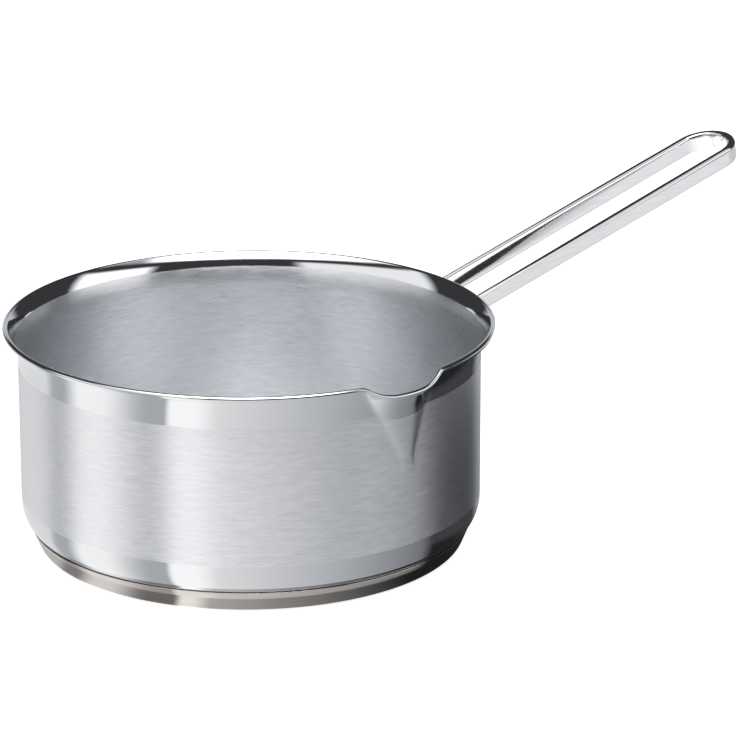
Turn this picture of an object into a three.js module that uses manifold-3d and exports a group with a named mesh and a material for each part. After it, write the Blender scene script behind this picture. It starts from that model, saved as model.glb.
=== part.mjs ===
// A two-litre stainless-steel saucepan with a flared, rolled lip, one pouring spout,
// an encapsulated heat-spreading base and a loop handle bent from one steel bar.
// Millimetres and degrees. +Z is up, the origin is the middle of the base's underside,
// the handle points along +X and the spout along -Y.
import * as THREE from "three";
import { mergeVertices } from "three/addons/utils/BufferGeometryUtils.js";
import Module from "manifold-3d";

const wasm = await Module();
wasm.setup();

// Driving dimensions of the vessel
const wallRadius = 94.1; // outside of the straight wall
const panHeight = 92.5; // table to the top of the lip
const lipOverhang = 5.9; // how far the rolled lip stands out of the wall
const sheet = 0.8; // thickness of the drawn vessel
const cornerRadius = 14.3; // outside bend from the wall to the floor
const beadRadius = 1.2; // rolled edge of the lip
const flareAngle = 38; // lean of the flare from vertical
const flareBend = 20; // outside bend from the wall to the flare

// Driving dimensions of the spout, a shallow half cone pressed out of the wall
const spoutReach = 2; // how far the lip is pushed out
const spoutDip = 4.9; // how far the lip is pressed down
const spoutHalfAngle = 11; // half of the lip's width, seen from the pan's axis
const spoutDepth = 36.5; // lip down to the point of the cone
const spoutFold = 15.5; // lip down to where the wall starts to go down with it
const spoutCrease = 0.14; // roundness of the creases beside the cone

// Driving dimensions of the encapsulated base
const capSheet = 0.6; // thickness of the outer magnetic cup
const capInset = 9.2; // wall's outside in to the edge of the flat that stands on the hob
const capEdgeRadius = 3; // outside bend from the foot to the cup's side
const capHeight = 8.8; // foot to the cup's upper edge
const discThickness = 3.4; // aluminium core under the floor
const discBrim = 6.6; // foot to the top of the core's turned-up brim
const brazeFilm = 0.3; // braze that bonds the core on both faces
const seatGap = 0.3; // clearance where two pieces meet on a curve

// Driving dimensions of the handle
const barHeight = 8.1; // steel bar that the loop is bent from, standing on edge
const barThickness = 3.8; // the same bar, seen from above
const barPower = 4; // squareness of the bar's section, 2 being an ellipse
const legSpacing = 25.4; // between the two legs' centre lines
const handleLength = 169.3; // edge of the lip to the end of the loop, seen from above
const handleRise = 15.2; // slope of the legs above level
const handleDrop = 15.7; // top of the lip down to the legs, below the lip's edge
const neckBend = 10; // centre-line bend from the foot to the leg
const legLean = 20; // how far the legs' upper edges lean apart at the pan
const footWidth = 14; // flattened end that lies on the wall
const footThickness = 2.6; // the bar's end after flattening
const footLength = 15; // flat length of the foot
const footCorner = 5; // rounding of the foot's lower corners
const neckLength = 9; // taper from the flat foot to the bar

// Driving dimensions of the spot welds between the feet and the wall
const weldDiameter = 5; // fused nugget
const weldDepth = 1.2; // how deep the nugget reaches into the foot
const weldPitch = 7.5; // between the two nuggets of a foot
const weldFromEnd = 4.8; // foot's lower end to the first nugget
const weldSkin = 0.06; // clearance between a nugget and the wall

// Smoothness
const turns = 96; // facets around the vessel
const baseTurns = 64; // facets around the pieces of the base
const arcStep = 15; // degrees between points of a round profile
const beadStep = 36; // degrees between points of the small bead
const barSides = 16; // facets around the bar
const weldSides = 20; // facets around a weld nugget

const radians = THREE.MathUtils.degToRad;
const smooth = THREE.MathUtils.smoothstep;
const point = (x, y) => new THREE.Vector2(x, y);

// Points of an arc from one angle to another, both ends included
function arc(centre, radius, from, to, step = arcStep) {
  const steps = Math.max(2, Math.ceil(Math.abs(to - from) / step));
  return Array.from({ length: steps + 1 }, (_, i) => {
    const angle = radians(from + ((to - from) * i) / steps);
    return point(centre.x + radius * Math.cos(angle), centre.y + radius * Math.sin(angle));
  });
}

// A round piece turned about +Z from a closed profile of (radius, height)
function turned(profile, facets) {
  const geometry = new THREE.LatheGeometry(profile, facets);
  geometry.rotateX(Math.PI / 2);
  return geometry;
}

// A mesh geometry as a solid that can be cut, and back again
function solidOf(geometry) {
  const bare = new THREE.BufferGeometry();
  bare.setAttribute("position", geometry.getAttribute("position").clone());
  if (geometry.index) bare.setIndex(geometry.index.clone());
  const merged = mergeVertices(bare, 1e-4);
  return new wasm.Manifold(
    new wasm.Mesh({
      numProp: 3,
      vertProperties: new Float32Array(merged.getAttribute("position").array),
      triVerts: new Uint32Array(merged.index.array),
    }),
  );
}

function geometryOf(solid) {
  const mesh = solid.getMesh();
  const geometry = new THREE.BufferGeometry();
  geometry.setAttribute("position", new THREE.BufferAttribute(mesh.vertProperties, 3));
  geometry.setIndex(new THREE.BufferAttribute(mesh.triVerts, 1));
  return geometry;
}

// The vessel: floor, corner, straight wall, flare and rolled lip, drawn from one blank
const rimRadius = wallRadius + lipOverhang; // outermost edge of the rolled lip
const floorUnder = capSheet + 2 * brazeFilm + discThickness;
const cornerCentre = point(wallRadius - cornerRadius, floorUnder + cornerRadius);
const beadCentre = point(rimRadius - beadRadius, panHeight - beadRadius);
const flare = radians(flareAngle);
const flareNormal = point(-Math.cos(flare), Math.sin(flare)); // out of the flare's inner face
const flareAlong = point(Math.sin(flare), Math.cos(flare)); // up the flare
const flareInnerBend = flareBend + sheet;
const flareCentreRadius = wallRadius + flareBend;
// The flare's inner face runs off the bead's top as a tangent, which sets where the flare starts
const flareStart =
  (beadCentre.dot(flareNormal) + beadRadius - flareInnerBend + flareCentreRadius * Math.cos(flare)) /
  Math.sin(flare);
const flareCentre = point(flareCentreRadius, flareStart);

const coneFoot = panHeight - spoutDepth; // the low point of the spout's cone

function vesselProfile() {
  const outerOffset = beadRadius - sheet;
  const outerBack = Math.sqrt(beadRadius ** 2 - outerOffset ** 2);
  const meets = flareNormal.clone().multiplyScalar(outerOffset).addScaledVector(flareAlong, -outerBack);
  const beadFrom = THREE.MathUtils.radToDeg(meets.angle()) - 360;
  // Heights up the straight wall where the spout's cone needs points of its own
  const rings = [0, 0.35, 0.7].map((share) => coneFoot + (flareStart - coneFoot) * share);
  return [
    point(0, floorUnder),
    ...arc(cornerCentre, cornerRadius, -90, 0),
    ...rings.map((z) => point(wallRadius, z)),
    ...arc(flareCentre, flareBend, 180, 180 - flareAngle),
    ...arc(beadCentre, beadRadius, beadFrom, 180 - flareAngle, beadStep),
    ...arc(flareCentre, flareInnerBend, 180 - flareAngle, 180),
    ...rings.reverse().map((z) => point(wallRadius - sheet, z)),
    ...arc(cornerCentre, cornerRadius - sheet, 0, -90),
    point(0, floorUnder + sheet),
  ];
}

// Pushes the wall out and the lip down inside the spout's cone
function pressSpout(geometry) {
  const position = geometry.getAttribute("position");
  for (let i = 0; i < position.count; i++) {
    const x = position.getX(i);
    const y = position.getY(i);
    const z = position.getZ(i);
    const rise = (z - coneFoot) / spoutDepth;
    if (rise <= 0) continue;
    const angle = THREE.MathUtils.radToDeg(Math.atan2(x, -y));
    const across = angle / (spoutHalfAngle * Math.max(rise, spoutCrease));
    const bulge = 1 - across ** 2;
    const swell = (bulge + Math.hypot(bulge, spoutCrease)) / 2;
    const radius = Math.hypot(x, y);
    const push = 1 + (spoutReach * swell * rise) / radius;
    const dip = spoutDip * swell * smooth(z, panHeight - spoutFold, panHeight);
    position.setXYZ(i, x * push, y * push, z - dip);
  }
  return geometry;
}

// The base: an aluminium core brazed to the floor inside a magnetic steel cup
const capFootRadius = wallRadius - capInset; // edge of the flat
const capCentre = point(capFootRadius, capEdgeRadius);
const capTopZ = capHeight;
const capTopRadius =
  cornerCentre.x + Math.sqrt(cornerRadius ** 2 - (cornerCentre.y - capTopZ) ** 2) + seatGap + capSheet;
// Lean of the cup's side: the line from its upper edge that is tangent to the lower bend
const capSpan = point(capTopRadius - capCentre.x, capTopZ - capCentre.y);
const capLean = Math.acos(capEdgeRadius / capSpan.length()) - Math.atan2(capSpan.y, capSpan.x);
const capLeanDegrees = THREE.MathUtils.radToDeg(capLean);

// Where a line beside the cup's side, a given distance in from its outside, is at a height
function besideCap(inset, height) {
  const radius = capEdgeRadius - inset;
  const start = point(radius * Math.cos(capLean), -radius * Math.sin(capLean)).add(capCentre);
  return point(start.x + (height - start.y) * Math.tan(capLean), height);
}

function capProfile() {
  return [
    point(0, 0),
    ...arc(capCentre, capEdgeRadius, -90, -capLeanDegrees),
    besideCap(0, capTopZ),
    besideCap(capSheet, capTopZ),
    ...arc(capCentre, capEdgeRadius - capSheet, -capLeanDegrees, -90),
    point(0, capSheet),
  ];
}

function discProfile() {
  const inset = capSheet + seatGap;
  const under = cornerRadius + brazeFilm;
  const brimAngle = THREE.MathUtils.radToDeg(Math.asin((discBrim - cornerCentre.y) / under));
  return [
    point(0, inset),
    ...arc(capCentre, capEdgeRadius - inset, -90, -capLeanDegrees),
    besideCap(inset, discBrim),
    ...arc(cornerCentre, under, brimAngle, -90),
    point(0, floorUnder - brazeFilm),
  ];
}

// A flat film of braze from one height to the next
function filmProfile(radius, bottom, top) {
  return [point(0, bottom), point(radius, bottom), point(radius, top), point(0, top)];
}

// The handle: foot, neck, leg, round end, and the same again on the other side
const legOffset = legSpacing / 2;
const rise = radians(handleRise);
const footInside = wallRadius + seatGap; // the foot's wall-side face
const neckRadius = footInside + barHeight / 2; // bar's centre above the foot
const neckX = Math.sqrt(neckRadius ** 2 - legOffset ** 2);
const bendX = neckX + neckBend;
const bendZ =
  panHeight - handleDrop +
  (bendX - neckBend * Math.sin(rise) - rimRadius) * Math.tan(rise) -
  neckBend * Math.cos(rise);
const footTop = bendZ - neckLength;
const footBottom = footTop - footLength;
const legStart = point(bendX - neckBend * Math.sin(rise), bendZ + neckBend * Math.cos(rise));
const reach = rimRadius + handleLength; // pan axis to the end of the loop
const endX = reach - (barThickness / 2 + legOffset) * Math.cos(rise); // centre of the round end
const endCentre = point(endX, legStart.y + (endX - legStart.x) * Math.tan(rise));

// One section of the bar: its middle, its two half-axes and its size along them
function section(centre, wide, deep, width, depth, flat) {
  const ring = [];
  for (let i = 0; i < barSides; i++) {
    const angle = (2 * Math.PI * i) / barSides;
    const round = (v) => Math.sign(v) * Math.abs(v) ** (2 / barPower);
    const across = (width / 2) * round(Math.cos(angle));
    const curve = (-flat * across ** 2) / (2 * footInside); // the foot is formed to the wall
    const along = (depth / 2) * round(Math.sin(angle)) + curve;
    ring.push(centre.clone().addScaledVector(wide, across).addScaledVector(deep, along));
  }
  return ring;
}

// Sections up the foot and the neck of the leg at +Y
function footRings() {
  const corners = [0, 0.15, 0.4, 1].map((share) => footBottom + footCorner * share);
  const flats = [0.7, 1].map((share) => footBottom + footLength * share);
  const tapers = [0.25, 0.5, 0.75, 1].map((share) => footTop + neckLength * share);
  return [...corners, ...flats, ...tapers].map((z) => {
    const drawn = smooth(z, footTop, bendZ);
    const cornerLeft = Math.max(0, footBottom + footCorner - z);
    const trim = footCorner - Math.sqrt(footCorner ** 2 - cornerLeft ** 2);
    const width = THREE.MathUtils.lerp(footWidth - 2 * trim, barThickness, drawn);
    const depth = THREE.MathUtils.lerp(footThickness, barHeight, drawn);
    const radius = footInside + depth / 2;
    const x = Math.sqrt(radius ** 2 - legOffset ** 2);
    const outward = new THREE.Vector3(x, legOffset, 0).normalize();
    const sideways = new THREE.Vector3(-outward.y, outward.x, 0);
    return section(new THREE.Vector3(x, legOffset, z), sideways, outward, width, depth, 1 - drawn);
  });
}

// A section of the bar in the leg at +Y, its upper edge leaning out by some degrees
function leaningSection(centre, wide, deep, lean) {
  const cosine = Math.cos(radians(lean));
  const sine = Math.sin(radians(lean));
  const across = wide.clone().multiplyScalar(cosine).addScaledVector(deep, sine);
  const down = deep.clone().multiplyScalar(cosine).addScaledVector(wide, -sine);
  return section(centre, across, down, barThickness, barHeight, 0);
}

// Sections round the bend from the neck to the leg at +Y
function bendRings() {
  const turn = 90 - handleRise;
  const steps = Math.ceil(turn / arcStep);
  const neckTwist = Math.asin(legOffset / neckRadius); // the foot faces the pan's axis
  return Array.from({ length: steps }, (_, i) => {
    const share = (i + 1) / steps;
    const angle = radians(turn * share);
    const twist = neckTwist * (1 - share);
    const x = bendX - neckBend * Math.cos(angle);
    const z = bendZ + neckBend * Math.sin(angle);
    const deep = new THREE.Vector3(Math.cos(angle), 0, -Math.sin(angle)).applyAxisAngle(
      new THREE.Vector3(0, 0, 1),
      twist,
    );
    const wide = new THREE.Vector3(-Math.sin(twist), Math.cos(twist), 0);
    return leaningSection(new THREE.Vector3(x, legOffset, z), wide, deep, legLean * share);
  });
}

// Sections along the leg at +Y, which comes upright towards the round end
function legRings() {
  const under = new THREE.Vector3(Math.sin(rise), 0, -Math.cos(rise));
  return [0.25, 0.5, 0.75].map((share) => {
    const x = THREE.MathUtils.lerp(legStart.x, endCentre.x, share);
    const z = THREE.MathUtils.lerp(legStart.y, endCentre.y, share);
    const centre = new THREE.Vector3(x, legOffset, z);
    return leaningSection(centre, new THREE.Vector3(0, 1, 0), under, legLean * (1 - share));
  });
}

// Sections round the half circle at the end of the loop, from +Y to -Y
function endRings() {
  const steps = Math.ceil(180 / arcStep);
  const under = new THREE.Vector3(Math.sin(rise), 0, -Math.cos(rise));
  return Array.from({ length: steps + 1 }, (_, i) => {
    const angle = Math.PI / 2 - (Math.PI * i) / steps;
    const ahead = legOffset * Math.cos(angle);
    const centre = new THREE.Vector3(
      endCentre.x + ahead * Math.cos(rise),
      legOffset * Math.sin(angle),
      endCentre.y + ahead * Math.sin(rise),
    );
    const wide = new THREE.Vector3(
      Math.cos(angle) * Math.cos(rise),
      Math.sin(angle),
      Math.cos(angle) * Math.sin(rise),
    );
    return section(centre, wide, under, barThickness, barHeight, 0);
  });
}

// A ring seen in the mirror of the pan's XZ plane
function mirrored(ring) {
  return ring.map((p) => new THREE.Vector3(p.x, -p.y, p.z));
}

// A closed skin over a row of rings, with flat ends
function lofted(rings) {
  const sides = rings[0].length;
  const points = rings.flat();
  const faces = [];
  for (let r = 0; r + 1 < rings.length; r++) {
    for (let i = 0; i < sides; i++) {
      const a = r * sides + i;
      const b = r * sides + ((i + 1) % sides);
      faces.push(a, b + sides, b, a, a + sides, b + sides);
    }
  }
  const last = (rings.length - 1) * sides;
  for (let i = 1; i + 1 < sides; i++) {
    faces.push(0, i, i + 1, last, last + i + 1, last + i);
  }
  const geometry = new THREE.BufferGeometry().setFromPoints(points);
  geometry.setIndex(faces);
  return geometry;
}

// The four spot welds, by side and by height
const weldAngle = Math.asin(legOffset / (footInside + footThickness / 2));
const weldPlaces = ["left", "right"].flatMap((side) =>
  ["lower", "upper"].map((level, i) => ({
    name: `weld_nugget_${side}_${level}`,
    angle: side === "left" ? weldAngle : -weldAngle,
    height: footBottom + weldFromEnd + i * weldPitch,
  })),
);

// A short round plug that points out of the wall, from one radius to the next
function wallPlug(place, diameter, from, to) {
  const geometry = new THREE.CylinderGeometry(diameter / 2, diameter / 2, to - from, weldSides);
  geometry.rotateZ(-Math.PI / 2);
  geometry.translate((from + to) / 2, 0, 0);
  geometry.rotateZ(place.angle);
  geometry.translate(0, 0, place.height);
  return geometry;
}

function handleGeometry() {
  const half = [...footRings(), ...bendRings(), ...legRings()];
  const otherHalf = half.map(mirrored).reverse();
  let bar = solidOf(lofted([...half, ...endRings(), ...otherHalf]));
  const pocket = weldDiameter + 2 * seatGap;
  for (const place of weldPlaces) {
    bar = bar.subtract(solidOf(wallPlug(place, pocket, wallRadius, footInside + weldDepth)));
  }
  return geometryOf(bar);
}

// Finishes
const steel = (color, roughness) =>
  new THREE.MeshStandardMaterial({ color, roughness, metalness: 1 });
const satinSteel = steel(0xc9cbcf, 0.35);
const capSteel = steel(0xa9a6a5, 0.3);
const polishedSteel = steel(0xdfe1e3, 0.12);
const weldSteel = steel(0xb4b2b0, 0.5);
const coreAluminium = steel(0xd4d6d8, 0.55);
const brazeAlloy = steel(0xbdb9b0, 0.7);

function piece(name, geometry, material) {
  const mesh = new THREE.Mesh(geometry, material);
  mesh.name = name;
  return mesh;
}

const saucepan = new THREE.Group();
saucepan.add(piece("pan_body", pressSpout(turned(vesselProfile(), turns)), satinSteel));
saucepan.add(
  piece(
    "upper_braze_film",
    turned(filmProfile(cornerCentre.x, floorUnder - brazeFilm, floorUnder), baseTurns),
    brazeAlloy,
  ),
);
saucepan.add(piece("heat_disc", turned(discProfile(), baseTurns), coreAluminium));
saucepan.add(
  piece(
    "lower_braze_film",
    turned(filmProfile(capFootRadius, capSheet, capSheet + brazeFilm), baseTurns),
    brazeAlloy,
  ),
);
saucepan.add(piece("base_cap", turned(capProfile(), baseTurns), capSteel));
saucepan.add(piece("handle_loop", handleGeometry(), polishedSteel));
for (const place of weldPlaces) {
  const nugget = wallPlug(place, weldDiameter, wallRadius + weldSkin, footInside + weldDepth - seatGap);
  saucepan.add(piece(place.name, nugget, weldSteel));
}

export default saucepan;
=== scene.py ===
import math

import bpy
from mathutils import Matrix, Vector


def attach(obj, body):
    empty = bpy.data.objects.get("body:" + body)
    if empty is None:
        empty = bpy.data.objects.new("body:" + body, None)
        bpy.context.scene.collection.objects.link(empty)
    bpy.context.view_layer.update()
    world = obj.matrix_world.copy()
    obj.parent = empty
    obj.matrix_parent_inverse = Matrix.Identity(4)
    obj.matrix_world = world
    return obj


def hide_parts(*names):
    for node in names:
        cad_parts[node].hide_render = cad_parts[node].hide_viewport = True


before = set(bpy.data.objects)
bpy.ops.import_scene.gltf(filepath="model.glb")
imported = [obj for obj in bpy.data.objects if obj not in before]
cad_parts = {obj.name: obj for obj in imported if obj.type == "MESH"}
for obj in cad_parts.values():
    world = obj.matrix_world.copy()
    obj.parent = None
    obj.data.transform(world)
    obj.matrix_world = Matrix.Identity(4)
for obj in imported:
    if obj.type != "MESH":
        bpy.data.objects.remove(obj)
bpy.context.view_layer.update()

scene = bpy.context.scene
scene.view_settings.view_transform = "Standard"

# Camera
# A long lens stands in front of the pan, to the left of its spout, and looks down
# at it. The handle points away from the camera, to the right.
HANDLE_TURN = math.radians(39.5)
CAMERA_DIP = 0.31711
CAMERA_AWAY = 1.6
CAMERA_AIM_Z = 0.04
CAMERA_SIDE = 0.048097
CAMERA_RAISE = 0.03015
LENS_PIXELS = 3903.71
FRAME_PIXELS = 736

look = Vector((0, math.cos(CAMERA_DIP), -math.sin(CAMERA_DIP)))
right = Vector((1, 0, 0))
above = right.cross(look)
to_part = Matrix.Rotation(-HANDLE_TURN, 3, "Z")
aim = Vector((0, 0, CAMERA_AIM_Z))
eye = aim + CAMERA_SIDE * right + CAMERA_RAISE * above - CAMERA_AWAY * look

lens = bpy.data.cameras.new("photo_lens")
lens.sensor_fit = "HORIZONTAL"
lens.sensor_width = 36
lens.lens = 36 * LENS_PIXELS / FRAME_PIXELS
lens.clip_start = 0.05
lens.clip_end = 50
camera = bpy.data.objects.new("photo_camera", lens)
turn = Matrix((to_part @ right, to_part @ above, -(to_part @ look))).transposed()
camera.matrix_world = Matrix.Translation(to_part @ eye) @ turn.to_4x4()
scene.collection.objects.link(camera)
scene.camera = camera

# Studio
# A big soft box hangs over a white table, light panels and dark cards stand round it, and
# a small soft box lights the handle from below. The metal mirrors them, and the camera
# sees plain white behind and under the pan.


def add_node(tree, kind, **settings):
    made = tree.nodes.new(kind)
    for name, value in settings.items():
        setattr(made, name, value)
    return made


def plug(tree, socket, value):
    if isinstance(value, bpy.types.NodeSocket):
        tree.links.new(value, socket)
    else:
        socket.default_value = value


def calc(tree, operation, *values):
    made = add_node(tree, "ShaderNodeMath", operation=operation)
    for socket, value in zip(made.inputs, values):
        plug(tree, socket, value)
    return made.outputs[0]


def fade(tree, value, start, stop, low=0.0, high=1.0, kind="SMOOTHSTEP"):
    made = add_node(tree, "ShaderNodeMapRange", interpolation_type=kind)
    for name, given in (
        ("Value", value),
        ("From Min", start),
        ("From Max", stop),
        ("To Min", low),
        ("To Max", high),
    ):
        plug(tree, made.inputs[name], given)
    return made.outputs["Result"]


def blend(tree, share, first, second):
    made = add_node(tree, "ShaderNodeMix", data_type="FLOAT")
    for place, value in ((0, share), (2, first), (3, second)):
        plug(tree, made.inputs[place], value)
    return made.outputs[0]


def blend_colour(tree, share, first, second):
    made = add_node(tree, "ShaderNodeMix", data_type="RGBA")
    for place, value in ((0, share), (6, first), (7, second)):
        plug(tree, made.inputs[place], value)
    return made.outputs[2]


def parts_of(tree, vector):
    made = add_node(tree, "ShaderNodeSeparateXYZ")
    plug(tree, made.inputs[0], vector)
    return made.outputs


def photo_ways(tree, vector):
    """A vector's parts to the right, away from the camera and up."""
    made = add_node(tree, "ShaderNodeVectorRotate", rotation_type="Z_AXIS")
    plug(tree, made.inputs["Vector"], vector)
    made.inputs["Angle"].default_value = HANDLE_TURN
    return parts_of(tree, made.outputs[0])


DEGREES = 180 / math.pi


def degrees_round(tree, rightward, frontward):
    """Degrees round the pan, 0 at the camera and growing to the right."""
    return calc(tree, "MULTIPLY", calc(tree, "ARCTAN2", rightward, frontward), DEGREES)


studio = bpy.data.worlds.new("studio")
studio.use_nodes = True
scene.world = studio
sky = studio.node_tree
sky.nodes.clear()
heading = add_node(sky, "ShaderNodeTexCoord").outputs["Generated"]
rightward, backward, skyward = photo_ways(sky, heading)
frontward = calc(sky, "MULTIPLY", backward, -1.0)
azimuth = degrees_round(sky, rightward, frontward)
upward = calc(sky, "MULTIPLY", calc(sky, "ARCSINE", skyward), DEGREES)
# The low cards lean, so that their edges stay upright in metal that curves in or out
from_back = calc(sky, "ADD", frontward, math.cos(CAMERA_DIP))
around = calc(sky, "MULTIPLY", degrees_round(sky, rightward, from_back), 2.0)


def span(value, low, high, low_soft, high_soft):
    """1 between two values, with soft ends, and 0 outside."""
    rise = fade(sky, value, low - low_soft, low + low_soft)
    return calc(sky, "MULTIPLY", rise, fade(sky, value, high + high_soft, high - high_soft))


def card(level, left, right, left_soft, right_soft, brightness):
    """A card or soft box that stands low in front of what was there."""
    return blend(sky, span(around, left, right, left_soft, right_soft), level, brightness)


def panel(level, centre, half, bottom, top, brightness):
    """A card or soft box that stands upright higher up, between two heights in degrees."""
    off = calc(sky, "WRAP", calc(sky, "SUBTRACT", azimuth, centre), 180.0, -180.0)
    mask = span(off, -half, half, PANEL_SIDE_SOFT, PANEL_SIDE_SOFT)
    mask = calc(sky, "MULTIPLY", mask, span(upward, bottom, top, PANEL_FOOT_SOFT, PANEL_TOP_SOFT))
    return blend(sky, mask, level, brightness)


# What stands low round the table: the front fill, the left side and the dark right side.
# Each low card has its left and right edge in degrees, their softness and its brightness.
PAST_BACK = 400
dark_side = fade(sky, upward, -34.0, -24.0, 0.02, 0.06)
LOW_CARDS = (
    (-PAST_BACK, -39, 2, 2.5, 0.5),
    (-39, -20, 2.5, 7, 1.2),
    (-97, -63, 7, 15, 1.13),
    (-PAST_BACK, -115, 1, 5, 0.85),
    (99, PAST_BACK, 6, 1, dark_side),
    (152, PAST_BACK, 8, 1, 0.38),
)
FILL_LEFT, FILL_RIGHT = -22.0, 95.0
FILL_BRIGHT, FILL_DARK = 0.94, 0.22
low_level = fade(sky, around, FILL_LEFT, FILL_RIGHT, FILL_BRIGHT, FILL_DARK, "LINEAR")
for low_card in LOW_CARDS:
    low_level = card(low_level, *low_card)
# The dark room over them, with light panels right and left and the pale backdrop. Each
# panel has its middle, half width, foot and top in degrees, and its brightness.
PANEL_SIDE_SOFT, PANEL_FOOT_SOFT, PANEL_TOP_SOFT = 5, 3, 2.5
CARD_TOP_LOW, CARD_TOP_HIGH = -9.0, 3.0
DARK_ROOM = 0.045
PANELS = (
    (78, 23, 8, 36, 1.4),
    (-64, 39, 8, 37, 1.05),
    (180, 27, -14, 19, 0.6),
)
level = blend(sky, fade(sky, upward, CARD_TOP_LOW, CARD_TOP_HIGH), low_level, DARK_ROOM)
for light_panel in PANELS:
    level = panel(level, *light_panel)
# The soft box overhead, strong before the pan and weaker behind it, over the handle and
# at its two sides. Its edge lies higher at the back.
OVERHEAD_BEFORE, OVERHEAD_BEHIND = 4.8, 1.1
HANDLE_BACKWARD, HANDLE_RIGHTWARD = 0.64, 0.77
to_handle = calc(sky, "MULTIPLY", rightward, HANDLE_RIGHTWARD)
to_handle = calc(sky, "MULTIPLY_ADD", backward, HANDLE_BACKWARD, to_handle)
overhead = fade(sky, backward, -0.1, 0.15, OVERHEAD_BEFORE, OVERHEAD_BEHIND)
overhead = blend(sky, fade(sky, to_handle, 0.15, 0.35), overhead, OVERHEAD_BEHIND)
sides = fade(sky, calc(sky, "ABSOLUTE", rightward), 0.3, 0.6, 1.0, 0.4)
overhead = calc(sky, "MULTIPLY", overhead, sides)
EDGE_FRONT, EDGE_BACK, EDGE_SOFT = 45.0, 62.0, 2.5
box_edge = fade(sky, calc(sky, "ABSOLUTE", azimuth), 90.0, 140.0, EDGE_FRONT, EDGE_BACK)
over_edge = calc(sky, "SUBTRACT", upward, box_edge)
level = blend(sky, fade(sky, over_edge, -EDGE_SOFT, EDGE_SOFT), level, overhead)
COOL, NEUTRAL = (0.95, 0.985, 1.05, 1.0), (1.0, 1.0, 1.0, 1.0)
tint = blend_colour(sky, fade(sky, level, 0.3, 1.0), COOL, NEUTRAL)
studio_light = add_node(sky, "ShaderNodeBackground")
plug(sky, studio_light.inputs["Color"], tint)
plug(sky, studio_light.inputs["Strength"], level)
white_ground = add_node(sky, "ShaderNodeBackground")
white_ground.inputs["Color"].default_value = (1, 1, 1, 1)
white_ground.inputs["Strength"].default_value = 1.0
path = add_node(sky, "ShaderNodeLightPath")
seen = add_node(sky, "ShaderNodeMixShader")
plug(sky, seen.inputs[0], path.outputs["Is Camera Ray"])
plug(sky, seen.inputs[1], studio_light.outputs[0])
plug(sky, seen.inputs[2], white_ground.outputs[0])
plug(sky, add_node(sky, "ShaderNodeOutputWorld").inputs["Surface"], seen.outputs[0])


def white_paper(name, shade, glow_level, ray):
    """Paper that shows as white to one kind of ray, and still takes shadows."""
    made = bpy.data.materials.new(name)
    made.use_nodes = True
    tree = made.node_tree
    tree.nodes.clear()
    matt = add_node(tree, "ShaderNodeBsdfDiffuse")
    matt.inputs["Color"].default_value = (shade, shade, shade, 1)
    glow = add_node(tree, "ShaderNodeEmission")
    glow.inputs["Color"].default_value = (1, 1, 1, 1)
    rays = add_node(tree, "ShaderNodeLightPath")
    plug(tree, glow.inputs["Strength"], calc(tree, "MULTIPLY", rays.outputs[ray], glow_level))
    both = add_node(tree, "ShaderNodeAddShader")
    plug(tree, both.inputs[0], matt.outputs[0])
    plug(tree, both.inputs[1], glow.outputs[0])
    plug(tree, add_node(tree, "ShaderNodeOutputMaterial").inputs["Surface"], both.outputs[0])
    return made


def flat_sheet(name, corners, material, faces=None):
    shape = bpy.data.meshes.new(name)
    shape.from_pydata(corners, [], faces or [tuple(range(len(corners)))])
    shape.materials.append(material)
    made = bpy.data.objects.new(name, shape)
    scene.collection.objects.link(made)
    return made


TABLE_HALF = 8.0
TABLE_DROP = -0.0002
TABLE_SHADE, TABLE_GLOW = 0.6, 0.8
table_paper = white_paper("table_paper", TABLE_SHADE, TABLE_GLOW, "Is Camera Ray")
quarters = ((-1, -1), (1, -1), (1, 1), (-1, 1))
table_corners = [(x * TABLE_HALF, y * TABLE_HALF, TABLE_DROP) for x, y in quarters]
table = flat_sheet("table", table_corners, table_paper)
# The table isn't mirrored, so that the wall shows what stands round it
table.visible_glossy = False

# A soft box on a low stand, aimed up at the handle from below and before it
BOX_MIDDLE = Vector((0.259, -0.055, 0.096))
HANDLE_RISE = math.radians(15.2)
BOX_TURN = math.radians(24.7)
BOX_LONG, BOX_WIDE = 0.22, 0.196
BOX_POWER = 0.088
box_rise = math.tan(HANDLE_RISE)
box_cos, box_sin = math.cos(BOX_TURN), math.sin(BOX_TURN)
box_along = Vector((box_cos, box_sin, box_cos * box_rise)).normalized()
box_across = Vector((box_sin, -box_cos, box_sin * box_rise))
box_back = box_along.cross(box_across).normalized()
box_across = box_back.cross(box_along)
soft_box = bpy.data.lights.new("soft_box_under_handle", "AREA")
soft_box.shape = "RECTANGLE"
soft_box.size, soft_box.size_y = BOX_LONG, BOX_WIDE
soft_box.energy = BOX_POWER
soft_box_stand = bpy.data.objects.new("soft_box_under_handle", soft_box)
box_turn = Matrix((box_along, box_across, box_back)).transposed().to_4x4()
soft_box_stand.matrix_world = Matrix.Translation(BOX_MIDDLE) @ box_turn
soft_box_stand.visible_camera = False
scene.collection.objects.link(soft_box_stand)

# A ring that glows only for mirror rays and stands for the table close round the foot, which the
# base cup mirrors: painted light from the left, and a painted shadow of the pan to the right
painted_reflection_glow = white_paper("painted_reflection_glow", 0.0, 1.0, "Is Glossy Ray")
tree = painted_reflection_glow.node_tree
foot_ways = photo_ways(tree, add_node(tree, "ShaderNodeTexCoord").outputs["Object"])
round_foot = degrees_round(tree, foot_ways["X"], calc(tree, "MULTIPLY", foot_ways["Y"], -1.0))
# Painted shadow: the ring's glow fades from bright on the left to nearly nothing on the right
SHADOW_FROM, SHADOW_TO, SHADOW_CURVE = -10.0, 50.0, 1.35
FOOT_BRIGHT, FOOT_SHADOW = 0.6, 0.02
foot_level = fade(tree, round_foot, SHADOW_FROM, SHADOW_TO, 1.0, 0.0, "LINEAR")
foot_level = calc(tree, "POWER", foot_level, SHADOW_CURVE)
foot_level = fade(tree, foot_level, 0.0, 1.0, FOOT_SHADOW, FOOT_BRIGHT, "LINEAR")
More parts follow.
